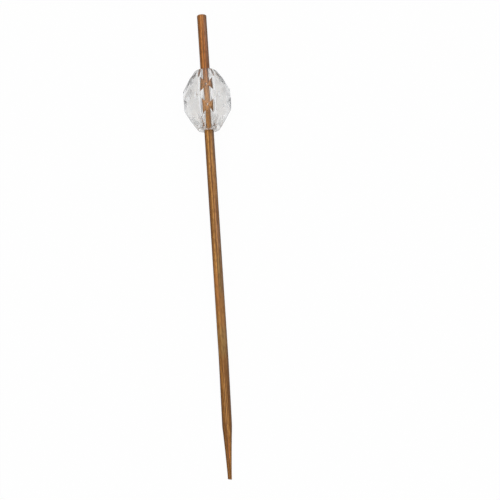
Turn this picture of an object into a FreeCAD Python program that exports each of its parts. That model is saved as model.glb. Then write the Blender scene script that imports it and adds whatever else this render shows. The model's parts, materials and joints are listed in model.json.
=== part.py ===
"""Cocktail pick: a blunt-pointed bamboo stick with a clear faceted bead near its head, lying at rest.

Millimetres. The pick lies on the plane z = 0 with its head towards +Y. The origin is under the middle
of its bounding box.
"""

import FreeCAD
import Part

import math
import os

from FreeCAD import Vector

# Stick
stick_length = 120.0
stick_diameter = 2.5
head_edge_radius = 0.18  # worn round edge of the square-cut head
taper_length = 13.0
taper_hollow = 0.06  # depth of the taper's slightly hollow side below a straight one
shoulder_radius = 12.0  # soft start of the taper
tip_diameter = 1.0
tip_edge_radius = 0.08
tip_slant = 10.0  # degrees that the blunt tip's cut leans from square

# Bead
head_length = 15.1  # stick that stands out above the bead
bead_length = 16.3
bead_across_flats = 12.2
facets_round = 8  # facets in each row round the bead
lozenge_height = 5.3  # facets of the middle row, corner to corner along the bead
belt_height = 10.8  # between the upper and the lower ring of corners where the end facets begin
bore_clearance = 0.35  # between the stick and the wall of the bore, if the stick were in its middle
seat_gap = 0.02  # left between the stick and the wall of the bore where the stick lies against it
seat_angle = 5.0  # degrees round the bore from straight below to where the stick lies against it
lip_width = 0.12  # flat ring round each mouth of the bore
lip_radius = 1.8  # round of the bead's end from that ring outwards
mouth_chamfer = 0.06

AXIS = Vector(0, 0, 1)
SIDE = Vector(1, 0, 0)
CENTRE = Vector(0, 0, 0)

stick_radius = stick_diameter / 2
tip_radius = tip_diameter / 2
bore_radius = stick_radius + bore_clearance
seat_offset = bore_clearance - seat_gap  # of the bead's axis from the stick's
bead_aside = seat_offset * math.sin(math.radians(seat_angle))
bead_rise = seat_offset * math.cos(math.radians(seat_angle))
bead_middle = stick_length - head_length - bead_length / 2  # height above the tip, stick upright

# Rings of corners, as radius and height from the bead's middle. Each ring sits where the flat facets
# on both sides of it meet, so the facets of all three rows are true planes.
half_step = math.pi / facets_round
girdle_radius = bead_across_flats / 2 / math.cos(half_step)
lozenge_top = (bead_across_flats / 2, lozenge_height / 2)
kite_slope = (girdle_radius - lozenge_top[0] * math.cos(half_step)) / lozenge_top[1]
belt_top = (girdle_radius - kite_slope * belt_height / 2, belt_height / 2)
end_slope = (lozenge_top[0] - belt_top[0] * math.cos(half_step)) / (belt_top[1] - lozenge_top[1])
end_flat = belt_top[0] * math.cos(half_step) - end_slope * (bead_length - belt_height) / 2
mouth = (end_flat / math.cos(half_step), bead_length / 2)


def line(start, end):
    """Straight edge between two (radius, height) points."""
    return Part.makeLine(Vector(start[0], 0, start[1]), Vector(end[0], 0, end[1]))


def arc(start, middle, end):
    """Circular edge through three (radius, height) points."""
    return Part.Arc(*(Vector(radius, 0, height) for radius, height in (start, middle, end))).toShape()


def turned(profile):
    """Solid of revolution about the upright axis, from a closed profile of (radius, height) edges."""
    return Part.Face(Part.Wire(profile)).revolve(CENTRE, AXIS, 360)


def taper(lowest):
    """Side of the point from this height upwards: a hollow arc, then a soft shoulder tangent to the shank.

    Gives the two edges, the low end and the end on the shank.
    """
    # The hollow is that of a large grinding wheel that lies against the point from outside.
    chord = math.hypot(taper_length, stick_radius - tip_radius)
    wheel_radius = (chord**2 / 4 + taper_hollow**2) / (2 * taper_hollow)
    reach = (wheel_radius - taper_hollow) / chord
    wheel_out = (stick_radius + tip_radius) / 2 + reach * taper_length
    wheel_up = taper_length / 2 - reach * (stick_radius - tip_radius)

    def side(height):
        return wheel_out - math.sqrt(wheel_radius**2 - (height - wheel_up) ** 2), height

    span = wheel_radius + shoulder_radius
    inner = stick_radius - shoulder_radius
    shank_start = (stick_radius, wheel_up + math.sqrt(span**2 - (wheel_out - inner) ** 2))
    lean = math.acos((wheel_out - inner) / span)
    shoulder_foot = side(shank_start[1] - shoulder_radius * math.sin(lean))
    shoulder_middle = (
        inner + shoulder_radius * math.cos(lean / 2),
        shank_start[1] - shoulder_radius * math.sin(lean / 2),
    )
    start = side(lowest)
    hollow = arc(start, side((lowest + shoulder_foot[1]) / 2), shoulder_foot)
    return [hollow, arc(shoulder_foot, shoulder_middle, shank_start)], start, shank_start


def stick():
    """Round bamboo rod, point down: square-cut head, hollow taper and a slanted blunt tip."""
    corner = head_edge_radius
    round_middle = corner * (1 - math.sqrt(0.5))
    under_head = (stick_radius, stick_length - corner)
    head_corner = (stick_radius - round_middle, stick_length - round_middle)
    on_head = (stick_radius - corner, stick_length)
    top = (0, stick_length)

    # The taper runs on below the tip, so that the slanted cut meets it all the way round.
    point, low, shank_start = taper(-tip_diameter)
    bottom = (0, low[1])
    shank = line(shank_start, under_head)
    head = [arc(under_head, head_corner, on_head), line(on_head, top), line(top, bottom)]
    rod = turned([line(bottom, low)] + point + [shank] + head)

    waste = Part.makeBox(stick_diameter, stick_diameter, stick_diameter)
    waste.translate(Vector(-stick_radius, -stick_radius, -stick_diameter))
    waste.rotate(CENTRE, Vector(0, 1, 0), tip_slant)
    rod = rod.cut(waste)
    tip_rim = [e for e in rod.Edges if e.Closed and abs(e.CenterOfMass.z) < tip_radius]
    return rod.makeFillet(tip_edge_radius, tip_rim)


def ring(radius_and_height, shift):
    """Corners of one ring; shift 0 puts them over the lozenges' middles, 0.5 between them."""
    radius, height = radius_and_height
    angles = [(2 * (place + shift)) * half_step for place in range(facets_round)]
    return [Vector(radius * math.sin(a), radius * math.cos(a), height) for a in angles]


def mirrored(radius_and_height):
    """The same ring in the lower half of the bead."""
    return radius_and_height[0], -radius_and_height[1]


def facet(corners):
    """Flat face through corners given in order."""
    return Part.Face(Part.makePolygon(corners + corners[:1]))


def cut_gem():
    """The bead's facets before it is bored: lozenges, a row of kites and a row of end facets each way."""
    girdle = ring((girdle_radius, 0), 0.5)
    faces = []
    tops = {}
    for half in (1, -1):
        side = (lambda r: r) if half > 0 else mirrored
        lozenge = ring(side(lozenge_top), 0)
        belt = ring(side(belt_top), 0.5)
        end = ring(side(mouth), 0.5)
        tops[half] = lozenge
        for k in range(facets_round):
            after = (k + 1) % facets_round
            faces.append(facet([girdle[k], lozenge[after], belt[k], lozenge[k]]))
            faces.append(facet([lozenge[k], belt[k], end[k], end[k - 1], belt[k - 1]]))
        faces.append(facet(end))
    for k in range(facets_round):
        faces.append(facet([girdle[k - 1], tops[1][k], girdle[k], tops[-1][k]]))
    return Part.Solid(Part.Shell(faces))


def rounded_ends():
    """Envelope that turns each end of the bead to a round lip: a flat ring, an arc and a cone."""
    flat = bore_radius + lip_width
    top = bead_length / 2
    turn = math.radians(45)
    arc_middle = (
        flat + lip_radius * math.sin(turn / 2),
        top - lip_radius * (1 - math.cos(turn / 2)),
    )
    arc_end = (flat + lip_radius * math.sin(turn), top - lip_radius * (1 - math.cos(turn)))
    waist = (arc_end[0] + arc_end[1] / math.tan(turn), 0)
    upper = turned(
        [
            line((0, 0), waist),
            line(waist, arc_end),
            arc(arc_end, arc_middle, (flat, top)),
            line((flat, top), (0, top)),
            line((0, top), (0, 0)),
        ]
    )
    return upper.fuse(upper.mirror(CENTRE, AXIS))


def bore():
    """Through hole for the stick, with a small chamfer at each mouth."""
    half = bead_length / 2
    wide = bore_radius + mouth_chamfer
    return turned(
        [
            line((0, -half), (wide, -half)),
            line((wide, -half), (bore_radius, mouth_chamfer - half)),
            line((bore_radius, mouth_chamfer - half), (bore_radius, half - mouth_chamfer)),
            line((bore_radius, half - mouth_chamfer), (wide, half)),
            line((wide, half), (0, half)),
            line((0, half), (0, -half)),
        ]
    )


def bead(roll):
    """Clear oval bead on the upright stick, which lies against the wall of its bore on the +Y side."""
    body = cut_gem().common(rounded_ends()).cut(bore())
    body.rotate(CENTRE, AXIS, roll)
    body.translate(Vector(bead_aside, -bead_rise, bead_middle))
    return body


def resting_angles():
    """Tilt and roll, in degrees, of the pick lying down.

    The bead stands on two points: a corner between lozenge and kites on its tip side, and the girdle
    corner beside it. The roll is where their heights agree. The stick touches the table at its tip, or
    at the shoulder of the taper if that comes first.
    """
    poses = []
    for support_radius, support_height in ((tip_radius, 0), (stick_radius, taper_length)):
        span = bead_middle - support_height
        lift = support_radius + bead_rise
        share = lozenge_top[1] / span
        along = share * lozenge_top[0]
        across = (1 - share) * girdle_radius * math.sin(half_step)
        roll = math.acos(share * lift / math.hypot(along, across)) - math.atan2(across, along)
        tilt = math.atan((girdle_radius * math.cos(half_step - roll) - lift) / span)
        poses.append((math.degrees(tilt), math.degrees(roll)))
    return min(poses)


def laid_down(pieces, tilt):
    """The upright pieces turned to the resting pose, with the origin under the middle of their box."""
    for piece in pieces:
        piece.rotate(CENTRE, SIDE, tilt - 90)
    box = Part.makeCompound(pieces).optimalBoundingBox(False, False)
    for piece in pieces:
        piece.translate(Vector(-box.Center.x, -box.Center.y, -box.ZMin))
    return pieces


def main():
    """Builds each piece and writes one STEP file for each."""
    os.makedirs("parts", exist_ok=True)
    tilt, roll = resting_angles()
    names = ("stick", "bead")
    for name, shape in zip(names, laid_down([stick(), bead(roll)], tilt)):
        shape.exportStep(f"parts/{name}.step")


main()
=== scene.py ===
"""Cocktail pick lying at rest: a heat-darkened bamboo stick through a clear faceted bead.

Each piece is modelled upright in millimetres, point down, about the Z axis. It is then laid down in the
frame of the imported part, in metres. While a piece is upright, its -Y side is the side that ends up on top.
"""

import json
import logging
import math
from collections.abc import Callable, Iterator, Mapping, Sequence
from dataclasses import dataclass, field
from enum import Enum
from typing import Any

import bpy
from mathutils import Euler, Matrix, Vector


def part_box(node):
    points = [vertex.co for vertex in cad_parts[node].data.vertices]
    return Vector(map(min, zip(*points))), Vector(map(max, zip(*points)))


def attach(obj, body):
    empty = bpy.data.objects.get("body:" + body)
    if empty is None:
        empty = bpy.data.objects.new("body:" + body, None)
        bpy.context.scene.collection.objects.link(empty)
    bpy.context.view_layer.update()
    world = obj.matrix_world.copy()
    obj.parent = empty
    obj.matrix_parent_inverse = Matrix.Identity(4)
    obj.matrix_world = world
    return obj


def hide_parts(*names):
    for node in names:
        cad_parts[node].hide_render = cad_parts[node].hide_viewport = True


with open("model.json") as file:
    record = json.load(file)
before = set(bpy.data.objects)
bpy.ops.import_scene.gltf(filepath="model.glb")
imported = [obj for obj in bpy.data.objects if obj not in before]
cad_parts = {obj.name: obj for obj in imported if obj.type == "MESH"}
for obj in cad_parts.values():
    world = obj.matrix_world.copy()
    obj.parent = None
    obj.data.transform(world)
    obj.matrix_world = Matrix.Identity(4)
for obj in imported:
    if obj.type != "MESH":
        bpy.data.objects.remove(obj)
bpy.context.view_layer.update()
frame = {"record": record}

LOG = logging.getLogger("cocktail_pick")
MM = 0.001
PHOTO_SIDE_PX = 500

# Tolerances of the modelling, in millimetres.
WELD_GAP = 1e-4
SLICE_GAP = 1e-5
ON_PLANE = 0.004
SAME_LENGTH = 0.01

Colour = tuple[float, float, float]
Point = tuple[float, float, float]


class Half(Enum):
    """The two ends of the bead, by the sign of their height above its middle."""

    HEAD = 1
    TIP = -1


def srgb(red: float, green: float, blue: float) -> Colour:
    """Turns a colour in screen values from 0 to 255 into the linear values that a shader takes.

    Args:
        red: Red on the screen.
        green: Green on the screen.
        blue: Blue on the screen.

    Returns:
        The linear red, green and blue.
    """

    def linear(value: float) -> float:
        """One channel in linear light."""
        share = value / 255
        return share / 12.92 if share <= 0.04045 else ((share + 0.055) / 1.055) ** 2.4

    return linear(red), linear(green), linear(blue)


@dataclass(frozen=True)
class Band:
    """Values between which something comes up from none to all; high is below low where it fades instead."""

    low: float
    high: float


@dataclass(frozen=True)
class Clouds:
    """One cloudy noise: the scale of its place, clouds per unit, octaves and the weight of the finer ones."""

    stretch: Point
    scale: float
    detail: float
    roughness: float = 0.5


@dataclass(frozen=True)
class Layer:
    """A colour laid over others by a share, where some value lies in a band."""

    tone: Colour
    band: Band
    share: float


class Socket:
    """One output of a material's node, which Python's operators combine into Math nodes."""

    def __init__(self, graph: "Graph", output: bpy.types.NodeSocket) -> None:
        """Keeps the output and the graph that it is in."""
        self.graph = graph
        self.output = output

    def _math(self, operation: str, *values: "Socket | float") -> "Socket":
        """Adds one Math node.

        Args:
            operation: The Math node's operation.
            values: Its inputs in order.

        Returns:
            The node's result.
        """
        return self.graph.socket("ShaderNodeMath", {"operation": operation}, dict(enumerate(values)))

    def __add__(self, other: "Socket | float") -> "Socket":
        """Sum."""
        return self._math("ADD", self, other)

    __radd__ = __add__

    def __sub__(self, other: "Socket | float") -> "Socket":
        """Difference."""
        return self._math("SUBTRACT", self, other)

    def __rsub__(self, other: "Socket | float") -> "Socket":
        """Difference, from the other side."""
        return self._math("SUBTRACT", other, self)

    def __mul__(self, other: "Socket | float") -> "Socket":
        """Product."""
        return self._math("MULTIPLY", self, other)

    __rmul__ = __mul__

    def ramp(self, band: Band) -> "Socket":
        """Rises smoothly from 0 at one end of a band to 1 at the other.

        Args:
            band: The value that gives 0 and the value that gives 1.

        Returns:
            The result, held between 0 and 1.
        """
        ends = {1: band.low, 2: band.high, 3: 0.0, 4: 1.0}
        if band.low > band.high:
            ends = {1: band.high, 2: band.low, 3: 1.0, 4: 0.0}
        settings = {"interpolation_type": "SMOOTHSTEP", "clamp": True}
        return self.graph.socket("ShaderNodeMapRange", settings, {0: self, **ends})


class Graph:
    """The node tree of one material or of the world."""

    def __init__(self, tree: bpy.types.NodeTree) -> None:
        """Empties the tree."""
        self.tree = tree
        tree.nodes.clear()

    def node(
        self,
        kind: str,
        settings: Mapping[str, Any] | None = None,
        inputs: Mapping[str | int, Any] | None = None,
    ) -> bpy.types.Node:
        """Adds one node.

        Args:
            kind: Blender's type name of the node.
            settings: The node's own properties.
            inputs: Values or links of its sockets, by name or number.

        Returns:
            The node.
        """
        made = self.tree.nodes.new(kind)
        for name, value in (settings or {}).items():
            setattr(made, name, value)
        for name, value in (inputs or {}).items():
            if isinstance(value, Socket):
                self.tree.links.new(value.output, made.inputs[name])
            else:
                made.inputs[name].default_value = value
        return made

    def socket(
        self,
        kind: str,
        settings: Mapping[str, Any] | None = None,
        inputs: Mapping[str | int, Any] | None = None,
        output: str | int = 0,
    ) -> Socket:
        """Adds one node and gives one of its outputs.

        Args:
            kind: As in node.
            settings: As in node.
            inputs: As in node.
            output: Name or number of the output.

        Returns:
            That output.
        """
        return Socket(self, self.node(kind, settings, inputs).outputs[output])

    def mix(self, share: Socket, first: Colour | Socket, second: Colour | Socket) -> Socket:
        """Lays a second colour over a first.

        Args:
            share: How much of the second colour shows.
            first: The colour below.
            second: The colour on top.

        Returns:
            The mixed colour.
        """
        # The Mix node has sockets for every kind of value; these are those of its colours.
        colours = {6: first, 7: second}
        inputs = {n: (*c, 1) if isinstance(c, tuple) else c for n, c in colours.items()}
        settings = {"data_type": "RGBA", "clamp_factor": True}
        return self.socket("ShaderNodeMix", settings, {0: share, **inputs}, 2)

    def laid(self, layer: Layer, value: Socket, below: Colour | Socket) -> Socket:
        """Lays a layer over a colour, where a value lies in the layer's band."""
        return self.mix(value.ramp(layer.band) * layer.share, below, layer.tone)

    def parts(self, place: Socket) -> list[Socket]:
        """The X, Y and Z of a place."""
        split = self.node("ShaderNodeSeparateXYZ", {}, {0: place})
        return [Socket(self, output) for output in split.outputs]

    def joined(self, across: Socket | float, depth: Socket | float, along: Socket | float) -> Socket:
        """A place from its X, Y and Z."""
        return self.socket("ShaderNodeCombineXYZ", {}, {0: across, 1: depth, 2: along})

    def noise(self, place: Socket, clouds: Clouds) -> Socket:
        """Cloudy noise between 0 and 1.

        Args:
            place: Where it is read.
            clouds: What it is like.

        Returns:
            The noise value.
        """
        stretch = {0: place, 1: clouds.stretch}
        where = self.socket("ShaderNodeVectorMath", {"operation": "MULTIPLY"}, stretch)
        grain = {"Scale": clouds.scale, "Detail": clouds.detail, "Roughness": clouds.roughness}
        return self.socket("ShaderNodeTexNoise", {}, {"Vector": where, **grain})

    def bumped(self, height: Socket, strength: float, depth: float) -> Socket:
        """Surface direction bent by a relief.

        Args:
            height: The relief, between 0 and 1.
            strength: How far the relief bends it.
            depth: Depth of the relief in millimetres.

        Returns:
            The direction for a Normal socket.
        """
        inputs = {"Height": height, "Strength": strength, "Distance": depth * MM}
        return self.socket("ShaderNodeBump", {}, inputs)

    def principled(self, varying: Mapping[str, Socket], constant: Mapping[str, float]) -> None:
        """Ends a material with one Principled surface.

        Args:
            varying: Links of its sockets.
            constant: Values of its sockets.
        """
        surface = self.socket("ShaderNodeBsdfPrincipled", {}, {**varying, **constant})
        self.node("ShaderNodeOutputMaterial", {}, {"Surface": surface})

    def upright_place(self, lie: "Lie") -> Socket:
        """Place on a piece in millimetres in the upright frame that it was modelled in."""
        seen = self.socket("ShaderNodeTexCoord", output="Object")
        turn = lie.turn.to_euler()
        inputs = {"Vector": seen, "Location": lie.origin, "Rotation": turn, "Scale": (MM, MM, MM)}
        return self.socket("ShaderNodeMapping", {"vector_type": "TEXTURE"}, inputs)


def new_material(name: str) -> tuple[bpy.types.Material, Graph]:
    """Adds an empty material.

    Args:
        name: Name of the material.

    Returns:
        The material and its graph.
    """
    material = bpy.data.materials.new(name)
    material.use_nodes = True
    return material, Graph(material.node_tree)


@dataclass(frozen=True)
class Lie:
    """How an upright piece lies in the part's frame: where its origin goes, and how it is turned."""

    origin: Vector
    turn: Matrix

    def matrix(self) -> Matrix:
        """From upright millimetres to the part's frame in metres."""
        return Matrix.Translation(self.origin) @ self.turn.to_4x4() @ Matrix.Scale(MM, 4)


@dataclass(frozen=True)
class Rest:
    """The resting pose of the pick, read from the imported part."""

    record: Mapping[str, Any]
    stick_length: float
    bead_roll_deg: float

    def stick_lie(self) -> Lie:
        """The stick, with its origin at the middle of its tip."""
        end = next(mount for mount in self.record["mounts"] if mount["name"] == "head_end")
        along = Vector(end["axis"]).normalized()
        tilt = math.atan2(along.z, along.y)
        turn = Euler((tilt - math.pi / 2, 0, 0)).to_matrix()
        return Lie(Vector(end["pos_m"]) - along * self.stick_length * MM, turn)

    def bead_lie(self) -> Lie:
        """The bead, with its origin in its middle."""
        low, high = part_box("bead")
        turn = self.stick_lie().turn @ Matrix.Rotation(math.radians(self.bead_roll_deg), 3, "Z")
        return Lie((low + high) / 2, turn)


@dataclass(frozen=True)
class Groove:
    """Shallow grooves along the stick: their width, run and depth in millimetres.

    The brim is the value of the cloudy texture at which the surface stays where it was.
    """

    name: str
    width: float
    run: float
    depth: float
    brim: float = 0.9


GROOVES = (Groove("flute", 0.55, 40.0, 0.03), Groove("fibre", 0.2, 14.0, 0.02))


class Bench:
    """Work on one mesh piece with the modelling operators, in edit mode about the upright Z axis."""

    def __init__(self, name: str, segments: int, radius: float, height: float, aside: float = 0.0) -> None:
        """Starts a piece as one open ring.

        Args:
            name: Name of the piece.
            segments: Corners of every ring.
            radius: Radius of the first ring.
            height: Height of the first ring.
            aside: How far its middle is from the axis along X.
        """
        bpy.ops.object.select_all(action="DESELECT")
        bpy.ops.mesh.primitive_circle_add(vertices=segments, radius=radius)
        self.piece = bpy.context.object
        self.piece.name = self.piece.data.name = name
        self.radius = radius
        self.centre = Vector((0, 0, 0))
        bpy.ops.object.mode_set(mode="EDIT")
        bpy.ops.mesh.select_all(action="SELECT")
        self._shift(Vector((aside, 0, height)))

    def _shift(self, step: Vector) -> None:
        """Moves what is selected."""
        bpy.ops.transform.translate(value=step)
        self.centre = self.centre + step

    def ring(self, radius: float, height: float, aside: float = 0.0) -> None:
        """Draws the open end of the piece on to its next ring.

        Args:
            radius: Radius of the new ring.
            height: Height of the new ring.
            aside: How far its middle is from the axis along X.
        """
        bpy.ops.mesh.extrude_region_move()
        self._shift(Vector((aside, 0, height)) - self.centre)
        size = radius / self.radius
        bpy.ops.transform.resize(value=(size, size, 1), center_override=self.centre)
        self.radius = radius

    def cap(self) -> None:
        """Closes the open end with a face."""
        bpy.ops.mesh.edge_face_add()

    def weld(self) -> None:
        """Joins corners that coincide and turns every face outwards."""
        bpy.ops.mesh.select_all(action="SELECT")
        bpy.ops.mesh.remove_doubles(threshold=WELD_GAP)
        bpy.ops.mesh.normals_make_consistent(inside=False)

    def slice_off(self, point: Vector, normal: Vector) -> None:
        """Cuts off what lies beyond a plane and closes the cut with a flat face."""
        bpy.ops.mesh.select_all(action="SELECT")
        bpy.ops.mesh.bisect(
            plane_co=point, plane_no=normal, use_fill=True, clear_outer=True, threshold=SLICE_GAP
        )

    def select_edges(self, wanted: Callable[[Vector, Vector], bool]) -> None:
        """Selects the edges for which a test on their two ends is true, and nothing else."""
        bpy.ops.mesh.select_mode(type="EDGE")
        bpy.ops.mesh.select_all(action="DESELECT")
        bpy.ops.object.mode_set(mode="OBJECT")
        mesh = self.piece.data
        for edge in mesh.edges:
            ends = [mesh.vertices[v].co for v in edge.vertices]
            edge.select = wanted(*ends)
        bpy.ops.object.mode_set(mode="EDIT")

    def done_editing(self) -> None:
        """Leaves edit mode."""
        bpy.ops.object.mode_set(mode="OBJECT")

    def apply(self, kind: str, settings: Mapping[str, Any]) -> None:
        """Adds a modifier and applies it.

        Args:
            kind: Blender's type name of the modifier.
            settings: Its properties.
        """
        modifier = self.piece.modifiers.new(kind.lower(), kind)
        for name, value in settings.items():
            setattr(modifier, name, value)
        bpy.ops.object.modifier_apply(modifier=modifier.name)

    def roughen(self, groove: Groove, group: str) -> None:
        """Sinks the surface in grooves along the piece.

        Args:
            groove: What they are like.
            group: Vertex group that says where.
        """
        texture = bpy.data.textures.new(groove.name, "CLOUDS")
        texture.noise_scale = 1.0
        bpy.ops.object.empty_add()
        rule = bpy.context.object
        rule.scale = (groove.width, groove.width, groove.run)
        bpy.context.view_layer.update()
        bpy.context.view_layer.objects.active = self.piece
        settings = {
            "texture": texture,
            "texture_coords": "OBJECT",
            "texture_coords_object": rule,
            "strength": groove.depth,
            "mid_level": groove.brim,
            "vertex_group": group,
        }
        self.apply("DISPLACE", settings)
        bpy.data.objects.remove(rule)

    def lay_down(self, lie: Lie) -> bpy.types.Object:
        """Puts the finished piece in the part's frame, with its place in its mesh.

        Args:
            lie: Where it lies.

        Returns:
            The piece.
        """
        bpy.ops.object.select_all(action="DESELECT")
        self.piece.select_set(True)
        bpy.context.view_layer.objects.active = self.piece
        self.piece.matrix_world = lie.matrix()
        bpy.ops.object.transform_apply(location=True, rotation=True, scale=True)
        return self.piece


class Tone(Enum):
    """Colours of the fibre bundles that stand out in the bamboo."""

    GOLD = srgb(204, 146, 76)
    ORANGE = srgb(204, 122, 58)
    DARK = srgb(82, 46, 18)
    OLIVE = srgb(142, 120, 70)
    RUST = srgb(154, 86, 50)
    BLUSH = srgb(158, 108, 88)


@dataclass(frozen=True)
class Vein:
    """One vein of fibres along the stick: tone, place across, half width, ends and fade in millimetres."""

    tone: Tone
    across: float
    reach: float
    low: float
    high: float
    strength: float
    fade: float = 6.0


VEINS = (
    Vein(Tone.OLIVE, 0.4, 0.7, 45.0, 57.0, 0.6, 3.0),
    Vein(Tone.OLIVE, 0.0, 1.6, 29.0, 39.0, 0.5, 3.0),
    Vein(Tone.RUST, -0.55, 0.65, 40.0, 54.0, 0.5, 4.0),
    Vein(Tone.BLUSH, 0.5, 0.35, 57.0, 72.0, 0.5, 3.0),
    Vein(Tone.DARK, -0.88, 0.4, 50.0, 122.0, 0.35),
    Vein(Tone.GOLD, -0.65, 0.4, 20.0, 60.0, 0.35),
    Vein(Tone.GOLD, -0.34, 0.27, 48.0, 92.0, 0.6),
    Vein(Tone.DARK, 0.0, 0.18, 46.0, 92.0, 0.5),
    Vein(Tone.GOLD, 0.3, 0.2, 52.0, 94.0, 0.35),
    Vein(Tone.ORANGE, -0.42, 0.24, 98.0, 122.0, 0.5),
    Vein(Tone.DARK, -0.1, 0.17, 98.0, 118.0, 0.8),
    Vein(Tone.ORANGE, 0.22, 0.2, 98.0, 122.0, 0.8),
    Vein(Tone.BLUSH, 0.75, 0.5, 98.0, 122.0, 0.6),
    Vein(Tone.DARK, 0.85, 0.4, 1.0, 36.0, 0.5),
    Vein(Tone.GOLD, -0.5, 0.14, 12.0, 27.0, 0.9, 4.0),
    Vein(Tone.DARK, -0.3, 0.14, 12.0, 30.0, 0.8, 4.0),
    Vein(Tone.GOLD, -0.13, 0.13, 10.0, 29.0, 0.8, 4.0),
    Vein(Tone.DARK, 0.06, 0.14, 12.0, 30.0, 0.8, 4.0),
    Vein(Tone.GOLD, 0.26, 0.14, 8.0, 26.0, 0.7, 4.0),
    Vein(Tone.ORANGE, -0.1, 0.24, 3.0, 11.0, 0.6, 3.0),
)


@dataclass(frozen=True)
class BambooFinish:
    """Bare bamboo darkened by heat: brown fibres that run slightly askew, with paler flesh between them.

    Places are in millimetres, and the bands of the head, the tip, the greyer +X side and the painted shade on
    both sides are shares of the rod's length or radius.
    """

    fibre: Colour = srgb(134, 86, 38)
    flesh: Layer = Layer(srgb(183, 130, 68), Band(0.38, 0.62), 1.0)
    head: Layer = Layer(srgb(188, 110, 58), Band(0.78, 0.92), 0.25)
    tip: Layer = Layer(srgb(118, 74, 22), Band(0.55, 0.1), 0.55)
    # A greyer tone laid over the +X side of the rod, stronger in patches and weaker towards the tip.
    side_grey: Colour = srgb(132, 108, 90)
    side_grey_band: Band = Band(0.1, 0.75)
    side_grey_patches: Band = Band(0.35, 0.6)
    side_grey_least: float = 0.3
    side_grey_more_in_patches: float = 0.4
    side_grey_lost_at_tip: float = 0.6
    # Dark fibre colour: used for the hair and dash lines, and also as the painted shade along both sides of
    # the rod.
    bundle_and_flank_shade: Colour = srgb(84, 48, 18)
    hair_lines: Layer = Layer(bundle_and_flank_shade, Band(0.56, 0.4), 0.45)
    dash_lines: Layer = Layer(bundle_and_flank_shade, Band(0.55, 0.35), 0.35)
    # Painted shade: the dark fibre colour laid over both sides of the rod, where less light falls, rising
    # with the square of the distance across.
    painted_flank_shade: Layer = Layer(bundle_and_flank_shade, Band(0.5, 1.0), 0.5)
    end_grain: Layer = Layer(srgb(120, 104, 74), Band(119.95, 119.99), 0.6)
    drift: Clouds = Clouds((0.0, 0.0, 0.09), 1.0, 2.0)
    streaks: Clouds = Clouds((1.0, 1.0, 0.008), 1.5, 3.0, 0.6)
    hairs: Clouds = Clouds((1.0, 1.0, 0.03), 2.4, 2.0, 0.6)
    dashes: Clouds = Clouds((1.0, 1.0, 0.3), 2.6, 1.0)
    patches: Clouds = Clouds((0.5, 0.5, 0.1), 1.0, 2.0)
    waver: float = 0.16
    askew: float = 0.012
    roughness: float = 0.46
    streak_roughness: float = 0.2
    hair_polish: float = 0.1
    streak_relief: float = 0.5
    hair_relief: float = 0.6
    dash_relief: float = 0.3
    relief_strength: float = 0.6
    relief_depth: float = 0.03
    index: float = 1.5
    gloss: float = 0.2
    rod_radius: float = 1.25
    rod_length: float = 120.0
    veins: Sequence[Vein] = VEINS

    def material(self, lie: Lie) -> bpy.types.Material:
        """Makes the material.

        Args:
            lie: How the stick lies, so that the grain follows it.

        Returns:
            The material.
        """
        material, graph = new_material("bare_bamboo")
        place = graph.upright_place(lie)
        across, depth, along = graph.parts(place)
        line = across + (graph.noise(place, self.drift) - 0.5) * self.waver
        grain = graph.joined(line + along * self.askew, depth, along)
        streak, hair, dash = (graph.noise(grain, c) for c in (self.streaks, self.hairs, self.dashes))

        colour = graph.laid(self.flesh, streak, self.fibre)
        up = along * (1 / self.rod_length)
        colour = graph.laid(self.head, up, colour)
        colour = graph.laid(self.tip, up, colour)
        colour = self._veined(graph, colour, line, along)
        # Greyer tone over the +X side of the rod, more in patches, less towards the tip.
        kept = 1 - up.ramp(self.tip.band) * self.side_grey_lost_at_tip
        side = (across * (1 / self.rod_radius)).ramp(self.side_grey_band) * kept
        patch = graph.noise(place, self.patches).ramp(self.side_grey_patches)
        colour = graph.mix(side * (self.side_grey_least + patch * self.side_grey_more_in_patches), colour, self.side_grey)
        colour = graph.laid(self.hair_lines, hair, colour)
        colour = graph.laid(self.dash_lines, dash, colour)
        # Painted shade: darkens both sides of the rod by the square of the distance across, standing in for
        # less light falling there.
        colour = graph.laid(self.painted_flank_shade, across * across * (1 / self.rod_radius**2), colour)
        colour = graph.laid(self.end_grain, along, colour)

        rough = self.roughness + self.streak_roughness * streak - self.hair_polish * hair
        relief = streak * self.streak_relief + hair * self.hair_relief + dash * self.dash_relief
        bump = graph.bumped(relief, self.relief_strength, self.relief_depth)
        constant = {"IOR": self.index, "Specular IOR Level": self.gloss}
        graph.principled({"Base Color": colour, "Roughness": rough, "Normal": bump}, constant)
        return material

    def _veined(self, graph: Graph, colour: Socket, line: Socket, along: Socket) -> Socket:
        """Lays the veins over a colour.

        Args:
            graph: The material's graph.
            colour: What they are laid over.
            line: Place across the stick, with the waver of the grain.
            along: Place along the stick.

        Returns:
            The colour with the veins.
        """
        for vein in self.veins:
            off = line - vein.across
            near = (off * off).ramp(Band(vein.reach**2, 0.0))
            start = along.ramp(Band(vein.low, vein.low + vein.fade))
            end = along.ramp(Band(vein.high, vein.high - vein.fade))
            colour = graph.mix(near * (start * end) * vein.strength, colour, vein.tone.value)
        return colour


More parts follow.
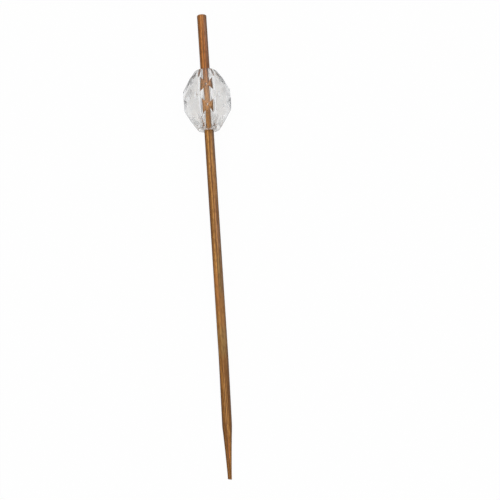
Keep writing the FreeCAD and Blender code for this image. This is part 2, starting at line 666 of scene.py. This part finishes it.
@dataclass(frozen=True)
class AcrylicFinish:
    """Clear moulded acrylic: polished facets with a faint flow in them and fine wear.

    The tint runs outward from clear to a faint haze, by the square of the distance across in square
    millimetres, and follows the flow a little.
    """

    clear: Colour = (0.995, 0.98, 0.95)
    haze: Colour = (0.95, 0.972, 1.0)
    haze_outward: Band = Band(0.0, 30.0)
    haze_in_flow: Band = Band(0.35, 0.7)
    outward_share: float = 0.6
    flow_share: float = 0.4
    flow: Clouds = Clouds((1.0, 1.0, 0.35), 0.45, 2.0)
    wear: Clouds = Clouds((1.0, 1.0, 1.0), 3.0, 4.0, 0.65)
    worn: Band = Band(0.55, 0.8)
    roughness: float = 0.09
    worn_roughness: float = 0.05
    flow_strength: float = 0.5
    flow_depth: float = 0.2
    index: float = 1.49

    def material(self, lie: Lie) -> bpy.types.Material:
        """Makes the material.

        Args:
            lie: How the bead lies, so that the flow follows it.

        Returns:
            The material.
        """
        material, graph = new_material("clear_acrylic")
        place = graph.upright_place(lie)
        across = graph.parts(place)[0]
        flow = graph.noise(place, self.flow)
        outward = (across * across).ramp(self.haze_outward)
        haze = flow.ramp(self.haze_in_flow) * self.flow_share + outward * self.outward_share
        colour = graph.mix(haze, self.clear, self.haze)
        rough = self.roughness + self.worn_roughness * graph.noise(place, self.wear).ramp(self.worn)
        bump = graph.bumped(flow, self.flow_strength, self.flow_depth)
        constant = {"IOR": self.index, "Transmission Weight": 1.0}
        graph.principled({"Base Color": colour, "Roughness": rough, "Normal": bump}, constant)
        return material


@dataclass
class Stick:
    """Round bamboo rod with a square-cut head and a ground taper to a blunt tip. Sizes in millimetres."""

    length: float = 120.0
    diameter: float = 2.5
    head_edge_radius: float = 0.18
    taper_length: float = 13.0
    taper_hollow: float = 0.06
    shoulder_radius: float = 12.0
    tip_diameter: float = 1.0
    tip_edge_radius: float = 0.08
    tip_slant_deg: float = 10.0
    bend_start: float = 30.0
    tip_aside: float = -0.36
    grain_start: float = 0.4
    grain_end_in_edges: float = 1.5
    segments: int = 96
    taper_rings: int = 18
    shoulder_rings: int = 6
    edge_rings: int = 4
    head_rings: int = 5
    tip_edge_rings: int = 3
    smooth_below_deg: float = 40.0
    finish: BambooFinish = field(default_factory=BambooFinish)

    def taper_side(self) -> Iterator[tuple[float, float]]:
        """Rings of the point from below the tip's cut up to the shank: a hollow arc, then a soft shoulder.

        Yields:
            Radius and height of each ring.
        """
        full, thin = self.diameter / 2, self.tip_diameter / 2
        chord = math.hypot(self.taper_length, full - thin)
        wheel = (chord**2 / 4 + self.taper_hollow**2) / (2 * self.taper_hollow)
        reach = (wheel - self.taper_hollow) / chord
        wheel_out = (full + thin) / 2 + reach * self.taper_length
        wheel_up = self.taper_length / 2 - reach * (full - thin)
        inner = full - self.shoulder_radius
        span = wheel + self.shoulder_radius
        shank_start = wheel_up + math.sqrt(span**2 - (wheel_out - inner) ** 2)
        lean = math.acos((wheel_out - inner) / span)
        foot = shank_start - self.shoulder_radius * math.sin(lean)
        low = -thin
        for step in range(self.taper_rings):
            height = low + (foot - low) * step / self.taper_rings
            yield wheel_out - math.sqrt(wheel**2 - (height - wheel_up) ** 2), height
        for step in range(self.shoulder_rings + 1):
            angle = lean * (1 - step / self.shoulder_rings)
            height = shank_start - self.shoulder_radius * math.sin(angle)
            yield inner + self.shoulder_radius * math.cos(angle), height

    def aside(self, height: float) -> float:
        """How far the rod's middle is from its axis at a height, where it leans a little towards the tip."""
        return self.tip_aside * (1 - height / self.bend_start)

    def build(self, lie: Lie) -> bpy.types.Object:
        """Models the stick.

        Args:
            lie: Where it lies.

        Returns:
            The piece.
        """
        rings = list(self.taper_side())
        bench = Bench("bamboo_stick", self.segments, *rings[0], self.aside(rings[0][1]))
        bench.cap()
        top_of_taper = rings[-1][1]
        for radius, height in rings[1:]:
            bench.ring(radius, height, self.aside(height))
        corner = self.head_edge_radius
        full = self.diameter / 2
        bench.ring(full, self.bend_start)
        bench.ring(full, self.length - corner)
        for step in range(1, self.edge_rings + 1):
            angle = math.pi / 2 * step / self.edge_rings
            out = full - corner * (1 - math.cos(angle))
            bench.ring(out, self.length - corner * (1 - math.sin(angle)))
        for step in range(self.head_rings - 1, 0, -1):
            bench.ring((full - corner) * (step / self.head_rings), self.length)
        bench.cap()
        self._divide_shank(bench, top_of_taper)
        self._cut_tip(bench)
        bench.weld()
        bench.done_editing()
        self._raise_grain(bench)
        bpy.ops.object.shade_smooth_by_angle(angle=math.radians(self.smooth_below_deg))
        return bench.lay_down(lie)

    def _divide_shank(self, bench: Bench, low: float) -> None:
        """Divides the shank into rings about a millimetre apart, for the grain."""
        high = self.length - self.head_edge_radius
        for span in (self.bend_start - low, high - self.bend_start):
            bench.select_edges(lambda a, b: abs(abs(a.z - b.z) - span) < SAME_LENGTH)
            bpy.ops.mesh.subdivide(number_cuts=int(span))

    def _cut_tip(self, bench: Bench) -> None:
        """Cuts the tip off at a slant and rounds the rim of the cut."""
        slant = math.radians(self.tip_slant_deg)
        normal = Vector((-math.sin(slant), 0, -math.cos(slant)))
        start = Vector((self.aside(0), 0, 0))
        bench.slice_off(start, normal)
        bench.select_edges(lambda a, b: all(abs((p - start).dot(normal)) < ON_PLANE for p in (a, b)))
        bpy.ops.mesh.bevel(offset=self.tip_edge_radius, segments=self.tip_edge_rings, affect="EDGES")

    def _raise_grain(self, bench: Bench) -> None:
        """Sinks shallow flutes and finer fibre lines into the round side."""
        group = bench.piece.vertex_groups.new(name="side")
        top = self.length - self.head_edge_radius * self.grain_end_in_edges
        side = [v.index for v in bench.piece.data.vertices if self.grain_start < v.co.z < top]
        group.add(side, 1.0, "REPLACE")
        for groove in GROOVES:
            bench.roughen(groove, group.name)

    def dress(self, piece: bpy.types.Object, lie: Lie) -> None:
        """Gives the stick its finish and ties it to the part."""
        piece.data.materials.append(self.finish.material(lie))
        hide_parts("stick")
        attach(piece, "root")


@dataclass
class Bead:
    """Clear oval bead cut in eight facets round, with a through bore. Sizes in millimetres."""

    length: float = 16.3
    across_flats: float = 12.2
    facets_round: int = 8
    lozenge_height: float = 5.3
    belt_height: float = 10.8
    bore_radius: float = 1.6
    lip_width: float = 0.12
    lip_radius: float = 1.8
    mouth_chamfer: float = 0.06
    edge_bevel: float = 0.04
    edge_rings: int = 2
    eased_from_length: float = 1.0
    eased_from_radius: float = 1.8
    roll_deg: float = 3.344
    segments: int = 128
    lip_turn_deg: float = 45.0
    lip_rings: int = 10
    finish: AcrylicFinish = field(default_factory=AcrylicFinish)

    def facet_rows(self) -> Iterator[tuple[float, float, float]]:
        """The three rows of facets, each a slope and a reach from the axis at the bead's middle.

        Yields:
            Half steps that the row is turned by, the inward slope, and the reach.
        """
        half_step = math.pi / self.facets_round
        flat = self.across_flats / 2
        girdle = flat / math.cos(half_step)
        lozenge_top = self.lozenge_height / 2
        belt_top = self.belt_height / 2
        kite_slope = (girdle - flat * math.cos(half_step)) / lozenge_top
        belt_flat = (girdle - kite_slope * belt_top) * math.cos(half_step)
        end_slope = (flat - belt_flat) / (belt_top - lozenge_top)
        yield 0.0, 0.0, flat
        yield 1.0, kite_slope, girdle
        yield 0.0, end_slope, flat + end_slope * lozenge_top

    def half_outline(self) -> list[tuple[float, float]]:
        """Radius and height of the rounded end, from the bore's wall out to the waist."""
        half = self.length / 2
        flat = self.bore_radius + self.lip_width
        turn = math.radians(self.lip_turn_deg)
        rings = [
            (self.bore_radius, half - self.mouth_chamfer),
            (self.bore_radius + self.mouth_chamfer, half),
        ]
        for step in range(self.lip_rings + 1):
            angle = turn * step / self.lip_rings
            out = flat + self.lip_radius * math.sin(angle)
            rings.append((out, half - self.lip_radius * (1 - math.cos(angle))))
        waist = rings[-1][0] + rings[-1][1] / math.tan(turn)
        return [*rings, (waist, 0.0)]

    def build(self, lie: Lie) -> bpy.types.Object:
        """Models the bead: a bored blank with rounded ends, then one flat cut for each facet.

        Args:
            lie: Where it lies.

        Returns:
            The piece.
        """
        upper = self.half_outline()
        outline = upper + [(radius, -height) for radius, height in reversed(upper[:-1])]
        bench = Bench("faceted_bead", self.segments, *outline[0])
        for radius, height in (*outline[1:], outline[0]):
            bench.ring(radius, height)
        bench.weld()
        for turned, slope, reach in self.facet_rows():
            halves = list(Half) if slope else [Half.HEAD]
            for place in range(self.facets_round):
                angle = (2 * place + turned) * math.pi / self.facets_round
                out = Vector((math.sin(angle), math.cos(angle), 0))
                for half in halves:
                    bench.slice_off(out * reach, (out + Vector((0, 0, slope * half.value))).normalized())
        bench.weld()
        self._ease_edges(bench)
        bench.done_editing()
        return bench.lay_down(lie)

    def _ease_edges(self, bench: Bench) -> None:
        """Rounds the edges between facets a little, as moulding leaves them."""

        def between_facets(start: Vector, end: Vector) -> bool:
            """Whether an edge is a long one away from the mouths of the bore."""
            long_enough = (start - end).length > self.eased_from_length
            return long_enough and min(start.xy.length, end.xy.length) > self.eased_from_radius

        bench.select_edges(between_facets)
        bpy.ops.mesh.bevel(offset=self.edge_bevel, segments=self.edge_rings, affect="EDGES")

    def dress(self, piece: bpy.types.Object, lie: Lie) -> None:
        """Gives the bead its finish and ties it to the part."""
        piece.data.materials.append(self.finish.material(lie))
        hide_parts("bead")
        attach(piece, "root")


@dataclass(frozen=True)
class PhotoCamera:
    """The camera of the photograph, by the point that it looks at and where that point is in the picture."""

    azimuth_deg: float = -3.90
    elevation_deg: float = 79.0
    distance: float = 0.25565
    focal_px: float = 1000.0
    seen_point: Point = (-0.000029, 0.0, 0.004)
    seen_at_px: tuple[float, float] = (216.02, 240.05)
    sensor_mm: float = 36.0
    nearest: float = 0.01

    def build(self) -> None:
        """Adds the camera and makes it the scene's."""
        azimuth, elevation = math.radians(self.azimuth_deg), math.radians(self.elevation_deg)
        flat = math.cos(elevation)
        back = Vector((math.sin(azimuth) * flat, -math.cos(azimuth) * flat, math.sin(elevation)))
        right = Vector((math.cos(azimuth), math.sin(azimuth), 0))
        up = back.cross(right)
        pixel = self.distance / self.focal_px
        across, down = (place - PHOTO_SIDE_PX / 2 for place in self.seen_at_px)
        place = Vector(self.seen_point) + back * self.distance - right * across * pixel + up * down * pixel
        lens = bpy.data.cameras.new("photo_camera")
        lens.sensor_width = self.sensor_mm
        lens.lens = self.focal_px / PHOTO_SIDE_PX * lens.sensor_width
        lens.clip_start = self.nearest
        camera = bpy.data.objects.new("photo_camera", lens)
        turned = Matrix((right, up, back)).transposed().to_4x4()
        camera.matrix_world = Matrix.Translation(place) @ turned
        bpy.context.scene.collection.objects.link(camera)
        bpy.context.scene.camera = camera


@dataclass(frozen=True)
class Studio:
    """White table under soft light.

    The bands of the world are by the parts of a ray's direction: up for most, back for the glow behind.
    """

    floor_side: float = 0.3
    floor_colour: Colour = (0.64, 0.64, 0.645)
    floor_roughness: float = 0.8
    floor_glow: float = 0.975
    glow_in_bead: float = 0.25
    low_light: float = 0.08
    high_light: float = 2.7
    high: Band = Band(0.68, 0.82)
    back_light: float = 0.6
    back: Band = Band(0.5, 0.85)
    back_height: Band = Band(0.66, 0.5)
    top_light: float = 1.0
    top: Band = Band(0.92, 0.98)

    def build(self) -> None:
        """Adds the table, the light and the white surround."""
        self._floor()
        self._world()

    def _floor(self) -> None:
        """Adds the table, which is white to the eye and keeps a soft shadow."""
        bpy.ops.object.select_all(action="DESELECT")
        bpy.ops.mesh.primitive_plane_add(size=self.floor_side)
        floor = bpy.context.object
        floor.name = "table_top"
        material, graph = new_material("white_table")
        matt = {"Base Color": (*self.floor_colour, 1), "Roughness": self.floor_roughness}
        lit = graph.socket("ShaderNodeBsdfPrincipled", {}, matt)
        white = graph.socket("ShaderNodeEmission", {}, {"Color": (1, 1, 1, 1), "Strength": 1.0})
        path = graph.node("ShaderNodeLightPath")
        by_eye, by_mirror, through = (
            Socket(graph, path.outputs[f"Is {kind} Ray"]) for kind in ("Camera", "Glossy", "Transmission")
        )
        share = by_eye * self.floor_glow + (by_mirror + through) * self.glow_in_bead
        upper = graph.socket("ShaderNodeMixShader", {}, {0: share, 1: lit, 2: white})
        below = graph.socket("ShaderNodeNewGeometry", output="Backfacing")
        clear = graph.socket("ShaderNodeBsdfTransparent")
        surface = graph.socket("ShaderNodeMixShader", {}, {0: below, 1: upper, 2: clear})
        graph.node("ShaderNodeOutputMaterial", {}, {"Surface": surface})
        floor.data.materials.append(material)

    def _world(self) -> None:
        """Soft light from above, little at the horizon and a mild glow behind; white where it is seen."""
        world = bpy.data.worlds.new("studio")
        bpy.context.scene.world = world
        world.use_nodes = True
        graph = Graph(world.node_tree)
        direction = graph.socket("ShaderNodeTexCoord", output="Generated")
        _, back, up = graph.parts(direction)
        level = self.low_light + up.ramp(self.high) * (self.high_light - self.low_light)
        level = level + back.ramp(self.back) * up.ramp(self.back_height) * self.back_light
        level = level - up.ramp(self.top) * (self.high_light - self.top_light)
        by_eye = graph.socket("ShaderNodeLightPath", output="Is Camera Ray")
        shown = level * (1 - by_eye) + by_eye
        light = graph.socket("ShaderNodeBackground", {}, {"Color": (1, 1, 1, 1), "Strength": shown})
        graph.node("ShaderNodeOutputWorld", {}, {"Surface": light})


@dataclass(frozen=True)
class LightPaths:
    """How light is followed in the bead, whose facets reflect it many times, and held where it sparkles."""

    bounces: int = 32
    bounces_in_bead: int = 24
    blur: float = 0.0
    brightest: float = 1.1

    def apply(self) -> None:
        """Gives the limits to Cycles."""
        cycles = bpy.context.scene.cycles
        cycles.max_bounces = self.bounces
        cycles.glossy_bounces = self.bounces_in_bead
        cycles.transmission_bounces = self.bounces_in_bead
        cycles.blur_glossy = self.blur
        cycles.sample_clamp_indirect = self.brightest


def main() -> None:
    """Builds the pick and the studio round it."""
    logging.basicConfig(level=logging.INFO, format="%(name)s: %(message)s")
    bpy.context.scene.view_settings.view_transform = "Standard"
    LightPaths().apply()
    PhotoCamera().build()
    stick, bead = Stick(), Bead()
    rest = Rest(frame["record"], stick.length, bead.roll_deg)
    for maker, lie in ((stick, rest.stick_lie()), (bead, rest.bead_lie())):
        piece = maker.build(lie)
        maker.dress(piece, lie)
        LOG.info("%s: %d faces", piece.name, len(piece.data.polygons))
    Studio().build()


if __name__ == "__main__":
    main()
